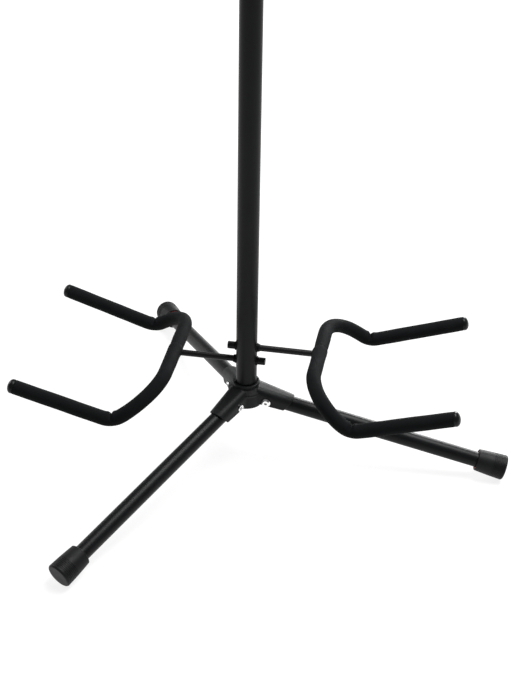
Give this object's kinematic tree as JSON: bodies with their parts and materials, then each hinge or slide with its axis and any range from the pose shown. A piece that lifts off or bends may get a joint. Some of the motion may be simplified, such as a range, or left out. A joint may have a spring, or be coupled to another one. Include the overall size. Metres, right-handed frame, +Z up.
{
  "type": "double guitar stand",
  "caption": "Folding tripod stand with a telescopic mast, foam-covered body cradles on both sides and padded neck yokes above them.",
  "frame": {"origin": "on the floor, straight under the mast's axis", "axes": "+Z up along the mast, +X out over the right-hand leg and cradle, -Y towards the front"},
  "size_m": [0.5889, 0.5759, 0.926],
  "materials": {
    "foam": "closed-cell foam, matt",
    "foot_rubber": "moulded rubber, satin",
    "accent_ring": "red moulded plastic",
    "nylon": "natural nylon",
    "moulded_black": "fine texture, satin",
    "knob_plastic": "satin",
    "bright_steel": "bright plated",
    "zinc_steel": "zinc plated",
    "cap_vinyl": "dipped vinyl, half gloss",
    "grommet_plastic": "satin",
    "powder_coat": "black powder coat, satin",
    "rod_coat": "black powder coat, satin"
  },
  "bodies": {
    "stand": {"hub": "moulded_black", "lower_tube": "powder_coat", "mast_plug": "nylon", "hub_screw": "zinc_steel", "hub_washer": "zinc_steel", "pivot_bolts": "bright_steel", "pivot_nuts": "bright_steel", "rod_grommets": "grommet_plastic", "clamp_body": "moulded_black", "clamp_liner": "nylon", "clamp_nut": "zinc_steel"},
    "right_leg": {"right_leg_tube": "powder_coat", "right_leg_plug": "nylon", "right_leg_foot": "foot_rubber", "right_leg_ring": "accent_ring"},
    "rear_leg": {"rear_leg_tube": "powder_coat", "rear_leg_plug": "nylon", "rear_leg_foot": "foot_rubber", "rear_leg_ring": "accent_ring"},
    "front_leg": {"front_leg_tube": "powder_coat", "front_leg_plug": "nylon", "front_leg_foot": "foot_rubber", "front_leg_ring": "accent_ring"},
    "right_cradle": {"right_cradle_bar": "rod_coat", "right_cradle_rod": "rod_coat", "right_cradle_foam_front": "foam", "right_cradle_foam_back": "foam", "right_cradle_end_caps": "cap_vinyl", "right_cradle_collar": "grommet_plastic", "right_cradle_stub_cap": "cap_vinyl"},
    "left_cradle": {"left_cradle_bar": "rod_coat", "left_cradle_rod": "rod_coat", "left_cradle_foam_front": "foam", "left_cradle_foam_back": "foam", "left_cradle_end_caps": "cap_vinyl", "left_cradle_collar": "grommet_plastic", "left_cradle_stub_cap": "cap_vinyl"},
    "upper_mast": {"upper_tube": "powder_coat", "yoke_grommets": "grommet_plastic", "guide_bush": "nylon", "top_cap": "cap_vinyl"},
    "right_yoke": {"right_yoke_bar": "rod_coat", "right_yoke_rod": "rod_coat", "right_yoke_foam_front": "foam", "right_yoke_foam_back": "foam", "right_yoke_end_caps": "cap_vinyl", "right_yoke_collar": "grommet_plastic", "right_yoke_stub_cap": "cap_vinyl"},
    "left_yoke": {"left_yoke_bar": "rod_coat", "left_yoke_rod": "rod_coat", "left_yoke_foam_front": "foam", "left_yoke_foam_back": "foam", "left_yoke_end_caps": "cap_vinyl", "left_yoke_collar": "grommet_plastic", "left_yoke_stub_cap": "cap_vinyl"},
    "height_knob": {"clamp_knob": "knob_plastic", "knob_screw": "zinc_steel"}
  },
  "joints": [
    {"name": "right_leg_fold", "type": "hinge", "parent": "stand", "child": "right_leg", "pos_m": [0.02666, 0.00037, 0.08439], "axis": [-0.014, 0.9999, 0], "range_deg": [0, 76.6]},
    {"name": "rear_leg_fold", "type": "hinge", "parent": "stand", "child": "rear_leg", "pos_m": [-0.01365, 0.0229, 0.08439], "axis": [-0.859, -0.512, 0], "range_deg": [0, 76.6]},
    {"name": "front_leg_fold", "type": "hinge", "parent": "stand", "child": "front_leg", "pos_m": [-0.01301, -0.02328, 0.08439], "axis": [0.8729, -0.4879, 0], "range_deg": [0, 76.6]},
    {"name": "right_cradle_turn", "type": "hinge", "parent": "stand", "child": "right_cradle", "pos_m": [0, 0, 0.1549], "axis": [1, 0, 0], "range_deg": [-51, 59]},
    {"name": "left_cradle_turn", "type": "hinge", "parent": "stand", "child": "left_cradle", "pos_m": [0, 0, 0.136], "axis": [1, 0, 0], "range_deg": [-84, 86]},
    {"name": "height_slide", "type": "slide", "parent": "stand", "child": "upper_mast", "axis": [0, 0, 1], "range_m": [-0.175, 0.12]},
    {"name": "right_yoke_turn", "type": "hinge", "parent": "upper_mast", "child": "right_yoke", "pos_m": [0, 0, 0.88], "axis": [1, 0, 0], "range_deg": [-90, 90]},
    {"name": "left_yoke_turn", "type": "hinge", "parent": "upper_mast", "child": "left_yoke", "pos_m": [0, 0, 0.862], "axis": [1, 0, 0], "range_deg": [-90, 90]},
    {"name": "height_knob_turn", "type": "hinge", "parent": "stand", "child": "height_knob", "pos_m": [0, -0.024, 0.633], "axis": [1, 0, 0], "range_deg": [0, 360]}
  ]
}
